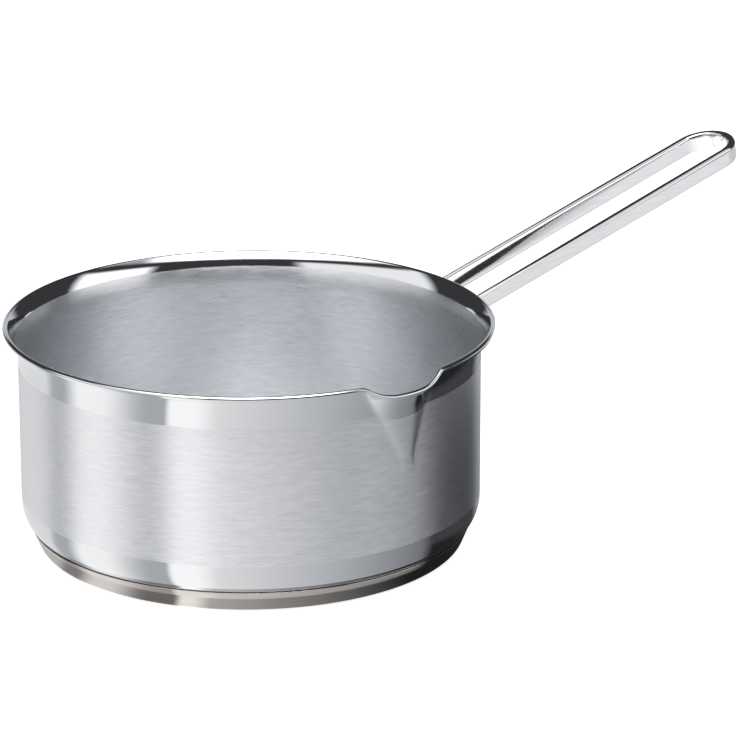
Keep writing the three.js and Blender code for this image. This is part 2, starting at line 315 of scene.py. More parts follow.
# Painted reflections of bands on the left: each band has the degrees where it starts and where it is
# full, and its brightness
FOOT_BANDS = (
    (-8.5, -15.0, 1.25),
    (-16.8, -19.8, 0.22),
    (-27.0, -41.0, 1.0),
    (-45.0, -54.0, 0.3),
    (-58.0, -64.0, 0.6),
)
for band_start, band_full, brightness in FOOT_BANDS:
    foot_level = blend(tree, fade(tree, round_foot, band_start, band_full), foot_level, brightness)
shown = tree.nodes["Emission"].inputs["Strength"]
plug(tree, shown, calc(tree, "MULTIPLY", shown.links[0].from_socket, foot_level))
RING_STEPS = 96
RING_INNER, RING_OUTER = 0.084, 0.092
ring_turns = [2 * math.pi * i / RING_STEPS for i in range(RING_STEPS)]
ring_points = [
    (radius * math.cos(a), radius * math.sin(a), TABLE_DROP / 2)
    for radius in (RING_INNER, RING_OUTER)
    for a in ring_turns
]
ring_faces = [
    (i, RING_STEPS + i, RING_STEPS + (i + 1) % RING_STEPS, (i + 1) % RING_STEPS)
    for i in range(RING_STEPS)
]
painted_reflection_ring = flat_sheet("painted_reflection_ring", ring_points, painted_reflection_glow, ring_faces)
painted_reflection_ring.visible_camera = False
painted_reflection_ring.visible_diffuse = False
painted_reflection_ring.visible_shadow = False

# Vessel
# One blank of stainless steel, deep drawn to a straight-walled pan. The lip is flared
# and rolled to a bead, and the spout is pressed out of the lip and the upper wall.
# The wall and the inside are brushed round the pan, and the rest is polished.
MM = 0.001
WALL_RADIUS = 94.1
PAN_HEIGHT = 92.5
LIP_OVERHANG = 5.9
SHEET = 0.8
CORNER_RADIUS = 14.3
BEAD_RADIUS = 1.2
FLARE_LEAN = math.radians(38)
FLARE_BEND = 20
FLOOR_UNDER = 4.6
SPOUT_REACH = 2
SPOUT_DIP = 4.9
SPOUT_HALF = math.radians(11)
SPOUT_DEPTH = 42
SPOUT_LEAN = math.radians(3.5)
SPOUT_FLATNESS = 3.0
SPOUT_CREASE = 0.2
SPOUT_FOLD = 30
VESSEL_FACETS = 320
VESSEL_CROWDING = 0.55
LOW_WALL_RINGS = (26, 34, 42, 50)
SPOUT_RINGS_FROM, SPOUT_RINGS = 53, 20


def arc(centre, radius, start, stop, step=6.0):
    count = max(2, math.ceil(abs(stop - start) / step))
    angles = [math.radians(start + (stop - start) * i / count) for i in range(count + 1)]
    return [(centre[0] + radius * math.cos(a), centre[1] + radius * math.sin(a)) for a in angles]


def stretch(start, stop, count):
    """Points between two profile points, without the two ends."""
    return [
        tuple(a + (b - a) * i / (count + 1) for a, b in zip(start, stop))
        for i in range(1, count + 1)
    ]


rim = WALL_RADIUS + LIP_OVERHANG
corner = (WALL_RADIUS - CORNER_RADIUS, FLOOR_UNDER + CORNER_RADIUS)
bead = (rim - BEAD_RADIUS, PAN_HEIGHT - BEAD_RADIUS)
lean_cos, lean_sin = math.cos(FLARE_LEAN), math.sin(FLARE_LEAN)
flare_start = (
    (WALL_RADIUS + FLARE_BEND - bead[0]) * lean_cos
    + bead[1] * lean_sin
    + BEAD_RADIUS
    - FLARE_BEND
    - SHEET
) / lean_sin
flare = (WALL_RADIUS + FLARE_BEND, flare_start)
flare_end = 180 - math.degrees(FLARE_LEAN)
bead_inset = BEAD_RADIUS - SHEET
bead_back = math.sqrt(BEAD_RADIUS**2 - bead_inset**2)
bead_from = math.degrees(
    math.atan2(
        bead_inset * lean_sin - bead_back * lean_cos,
        -bead_inset * lean_cos - bead_back * lean_sin,
    )
)
spout_foot = PAN_HEIGHT - SPOUT_DEPTH


def wall_rings(radius):
    """Points up the wall, close together where the spout is."""
    low = [(radius, z) for z in (*LOW_WALL_RINGS, SPOUT_RINGS_FROM)]
    return low + stretch(low[-1], (radius, flare_start), SPOUT_RINGS)


outer_flare = arc(flare, FLARE_BEND, 180, flare_end, 3)
inner_flare = arc(flare, FLARE_BEND + SHEET, flare_end, 180, 3)
bead_ring = arc(bead, BEAD_RADIUS, bead_from, flare_end, 13)
outer_profile = (
    [(r, FLOOR_UNDER) for r in (0, 3, 30, 60)]
    + arc(corner, CORNER_RADIUS, -90, 0, 5)
    + wall_rings(WALL_RADIUS)
    + outer_flare
)
inner_profile = (
    inner_flare
    + wall_rings(WALL_RADIUS - SHEET)[::-1]
    + arc(corner, CORNER_RADIUS - SHEET, 0, -90, 5)
    + [(r, FLOOR_UNDER + SHEET) for r in (60, 40, 20, 8, 3, 0)]
)
vessel_profile = outer_profile + bead_ring + inner_profile


def group_tree(name, kind, sockets):
    """A node group with named inputs and outputs."""
    tree = bpy.data.node_groups.new(name, kind)
    for label, way, socket_kind in sockets:
        tree.interface.new_socket(name=label, in_out=way, socket_type="NodeSocket" + socket_kind)
    return tree


def vector_of(tree, x, y, z):
    made = add_node(tree, "ShaderNodeCombineXYZ")
    for socket, value in zip(made.inputs, (x, y, z)):
        plug(tree, socket, value)
    return made.outputs[0]


def named_value(tree, name, kind="FLOAT"):
    made = add_node(tree, "GeometryNodeInputNamedAttribute", data_type=kind)
    made.inputs["Name"].default_value = name
    return made.outputs[0]


def sampled(tree, geometry, value, index, kind="FLOAT"):
    made = add_node(tree, "GeometryNodeSampleIndex", data_type=kind, domain="POINT")
    plug(tree, made.inputs["Geometry"], geometry)
    plug(tree, made.inputs["Value"], value)
    plug(tree, made.inputs["Index"], index)
    return made.outputs[0]


def skin_grid(tree, columns, rows):
    """A flat grid whose columns go round a piece and whose rows follow the given points."""
    grid = add_node(tree, "GeometryNodeMeshGrid")
    plug(tree, grid.inputs["Vertices X"], calc(tree, "ADD", columns, 1.0))
    plug(tree, grid.inputs["Vertices Y"], rows)
    grid.inputs["Size X"].default_value = 1.0
    grid.inputs["Size Y"].default_value = 1.0
    at = parts_of(tree, add_node(tree, "GeometryNodeInputPosition").outputs[0])
    share_round = calc(tree, "ADD", at["X"], 0.5)
    share_along = calc(tree, "ADD", at["Y"], 0.5)
    row = calc(tree, "MULTIPLY", share_along, calc(tree, "SUBTRACT", rows, 1.0))
    return grid.outputs["Mesh"], share_round, calc(tree, "ROUND", row)


def keep(tree, mesh, name, value, kind="FLOAT"):
    made = add_node(tree, "GeometryNodeStoreNamedAttribute", data_type=kind, domain="POINT")
    plug(tree, made.inputs["Geometry"], mesh)
    made.inputs["Name"].default_value = name
    plug(tree, made.inputs["Value"], value)
    return made.outputs[0]


def place_points(tree, mesh, position):
    made = add_node(tree, "GeometryNodeSetPosition")
    plug(tree, made.inputs["Geometry"], mesh)
    plug(tree, made.inputs["Position"], position)
    return made.outputs[0]


def close_skin(tree, mesh, material):
    """Seams and poles closed, smooth, realised, given its material and put out."""
    merge = add_node(tree, "GeometryNodeMergeByDistance")
    plug(tree, merge.inputs["Geometry"], mesh)
    merge.inputs["Distance"].default_value = 2e-6
    soft = add_node(tree, "GeometryNodeSetShadeSmooth")
    plug(tree, soft.inputs["Geometry"], merge.outputs[0])
    real = add_node(tree, "GeometryNodeRealizeInstances")
    plug(tree, real.inputs[0], soft.outputs[0])
    paint = add_node(tree, "GeometryNodeSetMaterial")
    plug(tree, paint.inputs["Geometry"], real.outputs[0])
    plug(tree, paint.inputs["Material"], material)
    plug(tree, add_node(tree, "NodeGroupOutput").inputs[0], paint.outputs[0])


turned_tree = group_tree(
    "turned_piece",
    "GeometryNodeTree",
    [
        ("Profile", "INPUT", "Geometry"),
        ("Facets", "INPUT", "Int"),
        ("Profile Points", "INPUT", "Int"),
        ("Crowding", "INPUT", "Float"),
        ("Spout Reach", "INPUT", "Float"),
        ("Spout Dip", "INPUT", "Float"),
        ("Spout Half Angle", "INPUT", "Float"),
        ("Spout Foot", "INPUT", "Float"),
        ("Spout Crease", "INPUT", "Float"),
        ("Spout Fold", "INPUT", "Float"),
        ("Spout Lean", "INPUT", "Float"),
        ("Spout Flatness", "INPUT", "Float"),
        ("Lip Height", "INPUT", "Float"),
        ("Material", "INPUT", "Material"),
        ("Geometry", "OUTPUT", "Geometry"),
    ],
)
t = turned_tree
given = add_node(t, "NodeGroupInput").outputs
skin, share_round, row = skin_grid(t, given["Facets"], given["Profile Points"])
place = add_node(t, "GeometryNodeInputPosition").outputs[0]
spot = parts_of(t, sampled(t, given["Profile"], place, row, "FLOAT_VECTOR"))
# Turns start opposite the spout and crowd together at it, where the creases need them
angle = calc(t, "MULTIPLY", share_round, 2 * math.pi)
crowd = calc(t, "MULTIPLY", calc(t, "SINE", angle), given["Crowding"])
angle = calc(t, "SUBTRACT", calc(t, "ADD", angle, crowd), math.pi)
# The spout: a shallow half cone with a flat middle. Its width and depth grow from its foot
# to the lip, and lower down it leans towards the handle.
spout_height = calc(t, "SUBTRACT", given["Lip Height"], given["Spout Foot"])
climb = calc(t, "DIVIDE", calc(t, "SUBTRACT", spot["Z"], given["Spout Foot"]), spout_height)
climb = calc(t, "MAXIMUM", climb, 0.0)
spread = calc(t, "MAXIMUM", climb, given["Spout Crease"])
width = calc(t, "MULTIPLY", given["Spout Half Angle"], spread)
lean = calc(t, "MULTIPLY", given["Spout Lean"], calc(t, "SUBTRACT", 1.0, climb))
across = calc(t, "DIVIDE", calc(t, "SUBTRACT", angle, lean), width)
bulge = calc(t, "POWER", calc(t, "ABSOLUTE", across), given["Spout Flatness"])
bulge = calc(t, "SUBTRACT", 1.0, bulge)
crease = calc(t, "MULTIPLY", given["Spout Crease"], given["Spout Crease"])
swell = calc(t, "SQRT", calc(t, "ADD", calc(t, "MULTIPLY", bulge, bulge), crease))
swell = calc(t, "MULTIPLY", calc(t, "ADD", bulge, swell), 0.5)
push = calc(t, "MULTIPLY", calc(t, "MULTIPLY", swell, climb), given["Spout Reach"])
radius = calc(t, "ADD", spot["X"], push)
fold = calc(t, "SUBTRACT", given["Lip Height"], given["Spout Fold"])
lip_share = fade(t, spot["Z"], fold, given["Lip Height"])
dip = calc(t, "MULTIPLY", calc(t, "MULTIPLY", swell, given["Spout Dip"]), lip_share)
sine, cosine = calc(t, "SINE", angle), calc(t, "COSINE", angle)
skin = keep(t, skin, "along", sampled(t, given["Profile"], named_value(t, "along"), row))
skin = keep(t, skin, "turning", vector_of(t, cosine, sine, 0.0), "FLOAT_VECTOR")
skin = place_points(
    t,
    skin,
    vector_of(
        t,
        calc(t, "MULTIPLY", radius, sine),
        calc(t, "MULTIPLY", calc(t, "MULTIPLY", radius, cosine), -1.0),
        calc(t, "SUBTRACT", spot["Z"], dip),
    ),
)
close_skin(t, skin, given["Material"])


def set_inputs(modifier, values):
    for item in modifier.node_group.interface.items_tree:
        if item.in_out == "INPUT" and item.name in values:
            modifier[item.identifier] = values[item.name]


def shaped(name, points, attributes, tree, values):
    """Points with their attributes, run through a tree and kept as a plain mesh."""
    guide = bpy.data.meshes.new(name)
    guide.from_pydata(points, [], [])
    for label, numbers in attributes.items():
        if isinstance(numbers[0], float):
            guide.attributes.new(label, "FLOAT", "POINT").data.foreach_set("value", numbers)
        else:
            flat = [v for vector in numbers for v in vector]
            guide.attributes.new(label, "FLOAT_VECTOR", "POINT").data.foreach_set("vector", flat)
    piece = bpy.data.objects.new(name, guide)
    scene.collection.objects.link(piece)
    modifier = piece.modifiers.new("shape", "NODES")
    modifier.node_group = tree
    set_inputs(modifier, values)
    evaluated = piece.evaluated_get(bpy.context.evaluated_depsgraph_get())
    shape = bpy.data.meshes.new_from_object(evaluated)
    shape.name = name
    piece.modifiers.clear()
    piece.data = shape
    return piece


def profile_lengths(profile):
    """Metres along a profile from its start to each of its points."""
    lengths = [0.0]
    for a, b in zip(profile, profile[1:]):
        lengths.append(lengths[-1] + math.dist(a, b) * MM)
    return lengths


def turned_piece(name, profile, material, facets, **sizes):
    """A round piece from its profile of (radius, height) in millimetres."""
    values = {
        "Facets": facets,
        "Profile Points": len(profile),
        "Spout Half Angle": 1.0,
        "Lip Height": 1.0,
        "Spout Crease": 0.1,
        "Spout Fold": 0.1,
        "Spout Flatness": 2.0,
        "Material": material,
    }
    values.update({key.replace("_", " ").title(): value for key, value in sizes.items()})
    points = [(r * MM, 0, z * MM) for r, z in profile]
    return shaped(name, points, {"along": profile_lengths(profile)}, turned_tree, values)


def shader_of(name):
    """A new metal, its tree and its shader."""
    made = bpy.data.materials.new(name)
    made.use_nodes = True
    shader = made.node_tree.nodes["Principled BSDF"]
    shader.inputs["Metallic"].default_value = 1.0
    return made, made.node_tree, shader


def noise(tree, vector, scale, detail):
    made = add_node(tree, "ShaderNodeTexNoise")
    for name, value in (("Vector", vector), ("Scale", scale), ("Detail", detail)):
        plug(tree, made.inputs[name], value)
    return made.outputs[0]


# Fine scratches of a belt or a lathe: long round the piece, thin across it
brushed_lines = group_tree(
    "brushed_lines",
    "ShaderNodeTree",
    [
        ("Place", "INPUT", "Vector"),
        ("Across", "INPUT", "Float"),
        ("Run", "INPUT", "Float"),
        ("Fineness", "INPUT", "Float"),
        ("Tone", "OUTPUT", "Float"),
    ],
)
g = brushed_lines
given = add_node(g, "NodeGroupInput").outputs
at = parts_of(g, given["Place"])
layers = []
for run_share, fine_share in ((1.0, 1.0), (0.5, 0.36)):
    run = calc(g, "MULTIPLY", given["Run"], run_share)
    fine = calc(g, "MULTIPLY", given["Fineness"], fine_share)
    x = calc(g, "MULTIPLY", at["X"], run)
    y = calc(g, "MULTIPLY", at["Y"], run)
    z = calc(g, "MULTIPLY", given["Across"], fine)
    layers.append(noise(g, vector_of(g, x, y, z), 1.0, 2.0))
lines = blend(g, 0.4, layers[0], layers[1])
plug(g, add_node(g, "NodeGroupOutput").inputs[0], fade(g, lines, 0.3, 0.7, kind="LINEAR"))

# Soft unevenness of a hand polish
polish_cloud = group_tree(
    "polish_cloud",
    "ShaderNodeTree",
    [
        ("Place", "INPUT", "Vector"),
        ("Scale", "INPUT", "Float"),
        ("Cloud", "OUTPUT", "Float"),
    ],
)
g = polish_cloud
given = add_node(g, "NodeGroupInput").outputs
cloud = noise(g, given["Place"], given["Scale"], 3.0)
plug(g, add_node(g, "NodeGroupOutput").inputs[0], fade(g, cloud, 0.3, 0.7))


def effect(tree, group, **values):
    made = add_node(tree, "ShaderNodeGroup", node_tree=group)
    for name, value in values.items():
        plug(tree, made.inputs[name.title()], value)
    return made.outputs[0]


def object_place(tree):
    return add_node(tree, "ShaderNodeTexCoord").outputs["Object"]


def attribute(tree, name, output="Fac"):
    return add_node(tree, "ShaderNodeAttribute", attribute_name=name).outputs[output]


def shade(tree, colour, amount):
    """A colour made lighter or darker by a value about 1."""
    made = add_node(tree, "ShaderNodeVectorMath", operation="SCALE")
    plug(tree, made.inputs[0], colour)
    plug(tree, made.inputs["Scale"], amount)
    return made.outputs[0]


def ripple(tree, height, depth):
    """A bump of the given depth in metres."""
    made = add_node(tree, "ShaderNodeBump")
    made.inputs["Strength"].default_value = 1.0
    made.inputs["Distance"].default_value = depth
    plug(tree, made.inputs["Height"], height)
    return made.outputs["Normal"]


def brush_across(tree, shader, amount):
    """Gloss drawn out across the brushing, which runs round the piece."""
    shader.inputs["Anisotropic"].default_value = amount
    shader.inputs["Anisotropic Rotation"].default_value = 0.25
    plug(tree, shader.inputs["Tangent"], attribute(tree, "turning", "Vector"))


def along_at(profile, height):
    """Metres along a profile where it crosses a height."""
    lengths = profile_lengths(profile)
    for i, (a, b) in enumerate(zip(profile, profile[1:])):
        if a[1] != b[1] and min(a[1], b[1]) <= height <= max(a[1], b[1]):
            return lengths[i] + (lengths[i + 1] - lengths[i]) * (height - a[1]) / (b[1] - a[1])


BRUSHED_FROM = 21
BRUSHED_TO = 77.8
POLISHED_LIP = 86.9
inside_start = profile_lengths(outer_profile + bead_ring + inner_profile[:1])[-1]
brush_low = along_at(outer_profile, BRUSHED_FROM)
brush_high = along_at(outer_profile, BRUSHED_TO)
brush_inside = inside_start + along_at(inner_profile, POLISHED_LIP)
BRUSH_EDGE = 0.0003
POLISHED_TONE, OUTSIDE_TONE = (0.76, 0.765, 0.775, 1), (0.89, 0.897, 0.913, 1)
INSIDE_TONE = (0.75, 0.762, 0.786, 1)
POLISHED_ROUGH, OUTSIDE_ROUGH, INSIDE_ROUGH = 0.03, 0.37, 0.31

vessel_steel, tree, shader = shader_of("vessel_steel")
place = object_place(tree)
along = attribute(tree, "along")
outside = calc(
    tree,
    "MULTIPLY",
    fade(tree, along, brush_low - BRUSH_EDGE, brush_low + BRUSH_EDGE),
    fade(tree, along, brush_high + BRUSH_EDGE, brush_high - BRUSH_EDGE),
)
inside = fade(tree, along, brush_inside - BRUSH_EDGE, brush_inside + BRUSH_EDGE)
brushed = calc(tree, "MAXIMUM", outside, inside)
lines = effect(tree, brushed_lines, place=place, across=along, run=200.0, fineness=2300.0)
cloud = effect(tree, polish_cloud, place=place, scale=35.0)
streaks = calc(tree, "MULTIPLY", calc(tree, "SUBTRACT", lines, 0.5), brushed)
colour = blend_colour(tree, outside, POLISHED_TONE, OUTSIDE_TONE)
colour = blend_colour(tree, inside, colour, INSIDE_TONE)
STREAK_TONE, STREAK_GLOSS = 0.2, 0.1
SCRATCH_DEPTH = 0.000004
tone = calc(tree, "MULTIPLY_ADD", streaks, STREAK_TONE, 1.0)
plug(tree, shader.inputs["Base Color"], shade(tree, colour, tone))
gloss = blend(tree, outside, POLISHED_ROUGH, OUTSIDE_ROUGH)
gloss = blend(tree, inside, gloss, INSIDE_ROUGH)
gloss = calc(tree, "MULTIPLY_ADD", streaks, STREAK_GLOSS, gloss)
plug(tree, shader.inputs["Roughness"], calc(tree, "MULTIPLY_ADD", cloud, 0.02, gloss))
plug(tree, shader.inputs["Normal"], ripple(tree, streaks, SCRATCH_DEPTH))
brush_across(tree, shader, 0.75)

vessel = turned_piece(
    "vessel",
    vessel_profile,
    vessel_steel,
    VESSEL_FACETS,
    crowding=VESSEL_CROWDING,
    spout_reach=SPOUT_REACH * MM,
    spout_dip=SPOUT_DIP * MM,
    spout_half_angle=SPOUT_HALF,
    spout_foot=spout_foot * MM,
    spout_crease=SPOUT_CREASE,
    spout_fold=SPOUT_FOLD * MM,
    spout_lean=SPOUT_LEAN,
    spout_flatness=SPOUT_FLATNESS,
    lip_height=PAN_HEIGHT * MM,
)
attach(vessel, "root")
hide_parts("pan_body")

# Braze
# Two thin films of aluminium braze bond the heat disc to the floor above it and to the
# base cup below it. They are melted in a press and only their rims would ever show.


def dress(node, material):
    """A new finish on a piece that keeps its own shape."""
    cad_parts[node].material_slots[0].material = material


braze_alloy, tree, shader = shader_of("braze_alloy")
place = object_place(tree)
cloud = effect(tree, polish_cloud, place=place, scale=220.0)
colour = blend_colour(tree, cloud, (0.46, 0.44, 0.39, 1), (0.56, 0.54, 0.49, 1))
plug(tree, shader.inputs["Base Color"], colour)
plug(tree, shader.inputs["Roughness"], fade(tree, cloud, 0.0, 1.0, 0.5, 0.75))
plug(tree, shader.inputs["Normal"], ripple(tree, cloud, 0.00003))
dress("upper_braze_film", braze_alloy)
dress("lower_braze_film", braze_alloy)

# Heat disc
# A thick disc of aluminium under the floor, pressed with a low brim, which spreads the
# heat. Its faces keep the rings of the rolled and turned blank.
core_aluminium, tree, shader = shader_of("core_aluminium")
place = object_place(tree)
at = parts_of(tree, place)
x_square, y_square = (calc(tree, "POWER", at[way], 2.0) for way in "XY")
from_axis = calc(tree, "SQRT", calc(tree, "ADD", x_square, y_square))
lines = effect(tree, brushed_lines, place=place, across=from_axis, run=40.0, fineness=1200.0)
colour = blend_colour(tree, lines, (0.6, 0.61, 0.62, 1), (0.72, 0.73, 0.74, 1))
plug(tree, shader.inputs["Base Color"], colour)
plug(tree, shader.inputs["Roughness"], fade(tree, lines, 0.0, 1.0, 0.42, 0.6))
plug(tree, shader.inputs["Normal"], ripple(tree, lines, 0.00001))
dress("heat_disc", core_aluminium)

# Base cup
# A shallow cup of magnetic steel, pressed over the heat disc and bonded to it. Its upper
# edge closes on the vessel's corner, and its flat underside stands on the hob.
CUP_SHEET = 0.6
CUP_INSET = 9.2
CUP_EDGE = 3
CUP_HEIGHT = 8.8
SEAT_GAP = 0.3
SEAM_GAP = 0.06
CUP_FACETS = 256
cup_foot = (WALL_RADIUS - CUP_INSET, CUP_EDGE)
cup_top = (
    corner[0] + math.sqrt(CORNER_RADIUS**2 - (corner[1] - CUP_HEIGHT) ** 2) + SEAM_GAP + CUP_SHEET
)
cup_span = (cup_top - cup_foot[0], CUP_HEIGHT - cup_foot[1])
cup_lean = math.acos(CUP_EDGE / math.hypot(*cup_span)) - math.atan2(cup_span[1], cup_span[0])


def beside_cup(inset, height):
    """A point beside the cup's side, some way in from its outside, at a height."""
    reach = CUP_EDGE - inset
    start = (cup_foot[0] + reach * math.cos(cup_lean), cup_foot[1] - reach * math.sin(cup_lean))
    return (start[0] + (height - start[1]) * math.tan(cup_lean), height)


cup_edge = CUP_SHEET / 2
cup_lip = [
    beside_cup(
        cup_edge * (1 - math.cos(math.radians(a))),
        CUP_HEIGHT - cup_edge * (1 - math.sin(math.radians(a))),
    )
    for a in range(0, 181, 30)
]
lean_degrees = math.degrees(cup_lean)
cup_profile = (
    [(r, 0) for r in (0, 3, 12, 30, 50, 70)]
    + arc(cup_foot, CUP_EDGE, -90, -lean_degrees, 8)
    + stretch(beside_cup(0, CUP_EDGE), cup_lip[0], 2)
    + cup_lip
    + arc(cup_foot, CUP_EDGE - CUP_SHEET, -lean_degrees, -90, 12)
    + [(r, CUP_SHEET) for r in (60, 12, 3, 0)]
)
underside_edge = cup_foot[0] * MM
UNDERSIDE_SOFT = 0.0005

cup_steel, tree, shader = shader_of("cup_steel")
place = object_place(tree)
along = attribute(tree, "along")
under = fade(tree, along, underside_edge + UNDERSIDE_SOFT, underside_edge - UNDERSIDE_SOFT)
lines = effect(tree, brushed_lines, place=place, across=along, run=30.0, fineness=1100.0)
cloud = effect(tree, polish_cloud, place=place, scale=45.0)
streak_share = fade(tree, under, 0.0, 1.0, 0.45, 1.0)
streaks = calc(tree, "MULTIPLY", calc(tree, "SUBTRACT", lines, 0.5), streak_share)
tone = calc(tree, "MULTIPLY_ADD", streaks, 0.22, 1.0)
# The cup is given darker tones than the vessel; this is partly painted shade, for the shadowed table
# close round the foot that the cup mirrors
CUP_DARKER, CUP_LIGHTER = (0.6, 0.562, 0.535, 1), (0.64, 0.6, 0.57, 1)
CUP_SIDE_ROUGH, CUP_UNDER_ROUGH = 0.07, 0.34
colour = blend_colour(tree, cloud, CUP_DARKER, CUP_LIGHTER)
plug(tree, shader.inputs["Base Color"], shade(tree, colour, tone))
gloss = blend(tree, under, CUP_SIDE_ROUGH, CUP_UNDER_ROUGH)
gloss = calc(tree, "MULTIPLY_ADD", streaks, STREAK_GLOSS, gloss)
plug(tree, shader.inputs["Roughness"], calc(tree, "MULTIPLY_ADD", cloud, 0.03, gloss))
plug(tree, shader.inputs["Normal"], ripple(tree, streaks, SCRATCH_DEPTH))
brush_across(tree, shader, 0.7)

base_cup = turned_piece("base_cup", cup_profile, cup_steel, CUP_FACETS)
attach(base_cup, "root")
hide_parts("base_cap")

# Handle
# One steel bar, stood on edge and bent to a long loop whose legs lean apart at the pan. Both
# ends are flattened to feet that lie on the wall under the lip and are spot welded to it.
BAR_HEIGHT = 8.1
BAR_THICKNESS = 3.8
BAR_POWER = 4
LEG_SPACING = 25.4
HANDLE_LENGTH = 169.3
HANDLE_DROP = 15.7
NECK_BEND = 10
LEG_LEAN = math.radians(20)
FOOT_WIDTH = 14
FOOT_THICKNESS = 2.6
FOOT_LENGTH = 15
FOOT_CORNER = 5
FOOT_ROUND = 0.7
NECK_LENGTH = 9
WELD_PITCH = 7.5
WELD_FROM_END = 4.8
WELD_MARK_RADIUS = 2.4
WELD_MARK_DEPTH = 0.22
BAR_SIDES = 64

leg = LEG_SPACING / 2
foot_inside = WALL_RADIUS + SEAT_GAP
neck_radius = foot_inside + BAR_HEIGHT / 2
bend_x = math.sqrt(neck_radius**2 - leg**2) + NECK_BEND
leg_start_x = bend_x - NECK_BEND * math.sin(HANDLE_RISE)
leg_start_z = PAN_HEIGHT - HANDLE_DROP + (leg_start_x - rim) * math.tan(HANDLE_RISE)
bend_z = leg_start_z - NECK_BEND * math.cos(HANDLE_RISE)
foot_top = bend_z - NECK_LENGTH
foot_bottom = foot_top - FOOT_LENGTH
end_x = rim + HANDLE_LENGTH - (BAR_THICKNESS / 2 + leg) * math.cos(HANDLE_RISE)
end_z = leg_start_z + (end_x - leg_start_x) * math.tan(HANDLE_RISE)


def smooth_step(value, start, stop):
    share = min(max((value - start) / (stop - start), 0), 1)
    return share * share * (3 - 2 * share)


def steps(start, stop, count):
    """Evenly spaced values from start up to, but without, stop."""
    return [start + (stop - start) * i / count for i in range(count)]


def foot_station(z, shrink=0.0):
    """The flattened end and its taper to the bar, at one height."""
    drawn = smooth_step(z, foot_top, bend_z)
    corner_left = min(max(0, foot_bottom + FOOT_CORNER - z), FOOT_CORNER)
    trim = FOOT_CORNER - math.sqrt(FOOT_CORNER**2 - corner_left**2)
    width = FOOT_WIDTH - 2 * trim + (BAR_THICKNESS - FOOT_WIDTH + 2 * trim) * drawn
    depth = FOOT_THICKNESS + (BAR_HEIGHT - FOOT_THICKNESS) * drawn
    reach = foot_inside + depth / 2
    x = math.sqrt(reach**2 - leg**2)
    out = Vector((x, leg, 0)).normalized()
    side = Vector((-out.y, out.x, 0))
    return (x, leg, z), side, out, width - 2 * shrink, depth - 2 * shrink, 1 - drawn


def bar_station(middle, side, under, lean=0.0):
    """The bar on edge, its upper edge leaning out."""
    across = math.cos(lean) * side + math.sin(lean) * under
    down = math.cos(lean) * under - math.sin(lean) * side
    return tuple(middle), across, down, BAR_THICKNESS, BAR_HEIGHT, 0.0


stations = []
foot_end = foot_station(foot_bottom)
stations.append((*foot_end[:3], 0.0, 0.0, 1.0))
for degrees in (0, 15, 30, 45, 60, 75):
    rise = FOOT_ROUND * (1 - math.cos(math.radians(degrees)))
    shrink = FOOT_ROUND * (1 - math.sin(math.radians(degrees)))
    stations.append(foot_station(foot_bottom + rise, shrink))
stations += [foot_station(z) for z in steps(foot_bottom + FOOT_ROUND, foot_top, 30)]
stations += [foot_station(z) for z in steps(foot_top, bend_z, 14)]
bend_turn = math.pi / 2 - HANDLE_RISE
neck_twist = math.asin(leg / neck_radius)
sideways = Vector((0, 1, 0))
for a in steps(0, bend_turn, 20):
    twist = Matrix.Rotation(neck_twist * (1 - a / bend_turn), 3, "Z")
    middle = (bend_x - NECK_BEND * math.cos(a), leg, bend_z + NECK_BEND * math.sin(a))
    under = twist @ Vector((math.cos(a), 0, -math.sin(a)))
    stations.append(bar_station(middle, twist @ sideways, under, LEG_LEAN * a / bend_turn))
leg_under = Vector((math.sin(HANDLE_RISE), 0, -math.cos(HANDLE_RISE)))
for share in steps(0, 1, 40):
    x = leg_start_x + (end_x - leg_start_x) * share
    z = leg_start_z + (end_z - leg_start_z) * share
    stations.append(bar_station((x, leg, z), sideways, leg_under, LEG_LEAN * (1 - share)))
one_leg = list(stations)
forward = Vector((math.cos(HANDLE_RISE), 0, math.sin(HANDLE_RISE)))
for a in steps(math.pi / 2, -math.pi / 2, 48) + [-math.pi / 2]:
    side = forward * math.cos(a) + sideways * math.sin(a)
    stations.append(bar_station(Vector((end_x, 0, end_z)) + leg * side, side, leg_under))


def mirror(vector):
    return (vector[0], -vector[1], vector[2])


for middle, side, out, width, depth, flatness in reversed(one_leg):
    stations.append((mirror(middle), mirror(side), mirror(out), width, depth, flatness))

bar_tree = group_tree(
    "bent_bar",
    "GeometryNodeTree",
    [
        ("Path", "INPUT", "Geometry"),
        ("Sides", "INPUT", "Int"),
        ("Path Points", "INPUT", "Int"),
        ("Seat Radius", "INPUT", "Float"),
        ("Squareness", "INPUT", "Float"),
        ("Mark Angle", "INPUT", "Float"),
        ("Mark Height", "INPUT", "Float"),
        ("Mark Pitch", "INPUT", "Float"),
        ("Mark Radius", "INPUT", "Float"),
        ("Mark Depth", "INPUT", "Float"),
        ("Material", "INPUT", "Material"),
        ("Geometry", "OUTPUT", "Geometry"),
    ],
)
t = bar_tree
given = add_node(t, "NodeGroupInput").outputs
skin, share_round, row = skin_grid(t, given["Sides"], given["Path Points"])
route = given["Path"]
place = add_node(t, "GeometryNodeInputPosition").outputs[0]
middle = sampled(t, route, place, row, "FLOAT_VECTOR")
side = sampled(t, route, named_value(t, "side", "FLOAT_VECTOR"), row, "FLOAT_VECTOR")
out = sampled(t, route, named_value(t, "out", "FLOAT_VECTOR"), row, "FLOAT_VECTOR")
width = sampled(t, route, named_value(t, "width"), row)
depth = sampled(t, route, named_value(t, "depth"), row)
flatness = sampled(t, route, named_value(t, "flatness"), row)
angle = calc(t, "MULTIPLY", share_round, -2 * math.pi)
power = calc(t, "DIVIDE", 2.0, given["Squareness"])


def squared(value):
    """Sine or cosine of a section with rounded corners."""
    size = calc(t, "POWER", calc(t, "ABSOLUTE", value), power)
    return calc(t, "MULTIPLY", calc(t, "SIGN", value), size)


